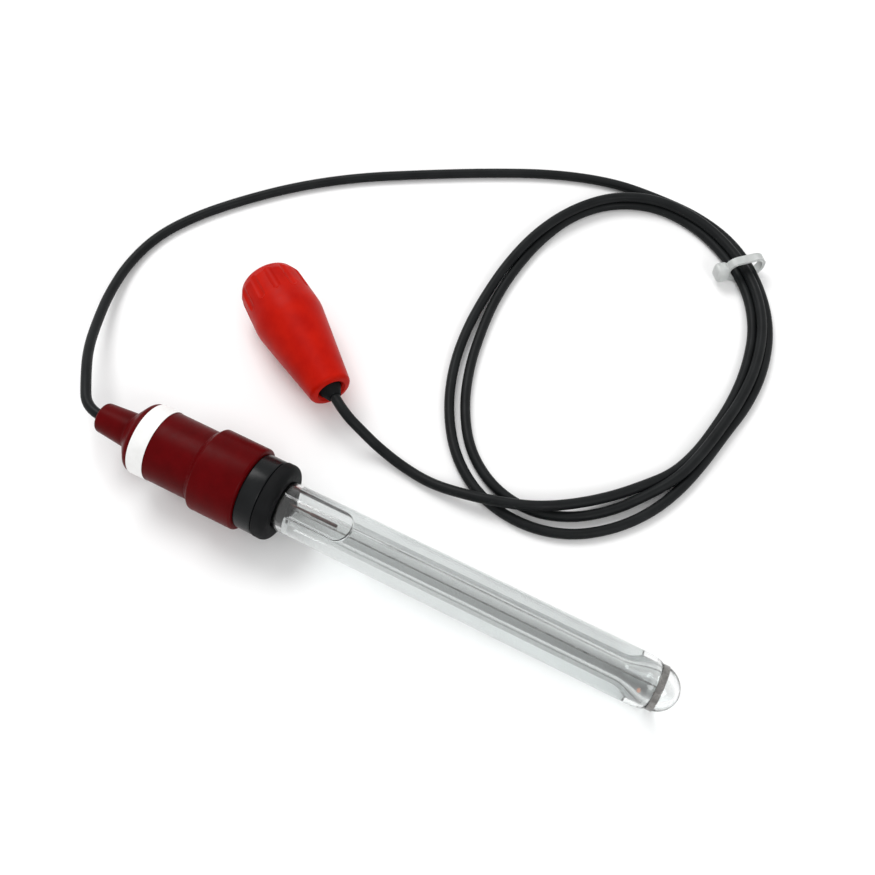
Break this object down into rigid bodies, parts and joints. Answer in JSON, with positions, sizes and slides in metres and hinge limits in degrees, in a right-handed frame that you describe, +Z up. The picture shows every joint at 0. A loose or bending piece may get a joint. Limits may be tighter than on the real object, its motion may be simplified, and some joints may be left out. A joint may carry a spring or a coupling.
{
  "type": "redox (ORP) electrode",
  "caption": "Glass laboratory redox electrode with platinum ring, dark red head, coiled black cable and red bayonet plug.",
  "frame": {"origin": "under the middle of the electrode, on the surface that the part lies on", "axes": "+X from the head towards the sensing tip, +Z up, +Y towards the cable's coil"},
  "size_m": [0.1764, 0.1444, 0.0212],
  "materials": {
    "clear_glass": "polished",
    "electrolyte": "clear",
    "platinum": "bright",
    "silver": "dull",
    "frit": "matt",
    "resin": "matt",
    "dark_red_plastic": "satin",
    "label": "satin",
    "black_plastic": "satin",
    "black_rubber": "matt",
    "red_plastic": "satin",
    "nickel_plate": "bright",
    "spring_steel": "satin",
    "white_dielectric": "matt",
    "gilt": "polished",
    "copper": "tinned",
    "cable_jacket": "satin",
    "natural_nylon": "translucent"
  },
  "bodies": {
    "electrode_and_cable": {"shaft_tube": "clear_glass", "inner_stem": "clear_glass", "platinum_ring": "platinum", "platinum_lead": "platinum", "reference_wire": "silver", "ceramic_junction": "frit", "electrolyte": "electrolyte", "potting_plug": "resin", "head_cap": "dark_red_plastic", "label_band": "label", "thrust_ring": "black_plastic", "seal_ring": "black_rubber", "cable_bushing": "black_rubber", "cable_in_head": "cable_jacket", "core_splice": "copper", "shield_splice": "copper", "plug_body": "nickel_plate", "plug_insulator": "white_dielectric", "center_pin": "gilt", "face_gasket": "black_rubber", "spring_washer": "spring_steel", "retaining_clip": "spring_steel", "crimp_ferrule": "nickel_plate", "rear_sleeve": "black_rubber", "cable_in_plug": "cable_jacket", "cord_lead": "cable_jacket", "cord_coil": "cable_jacket", "cord_tail": "cable_jacket", "cable_tie": "natural_nylon"},
    "coupling_washer": {"thrust_washer": "spring_steel"},
    "coupling_nut": {"bayonet_nut": "nickel_plate", "grip_shroud": "red_plastic"}
  },
  "joints": [
    {"name": "nut_float", "type": "slide", "parent": "electrode_and_cable", "child": "coupling_washer", "axis": [-0.8221, 0.5693, 0], "range_m": [0, 0.0005], "stiffness_N_per_m": 8000, "springref_m": -0.0005, "deforming": ["spring_washer"]},
    {"name": "nut_spin", "type": "hinge", "parent": "coupling_washer", "child": "coupling_nut", "pos_m": [-0.05438, 0.04951, 0.0091], "axis": [0.8221, -0.5693, 0], "continuous": true}
  ]
}
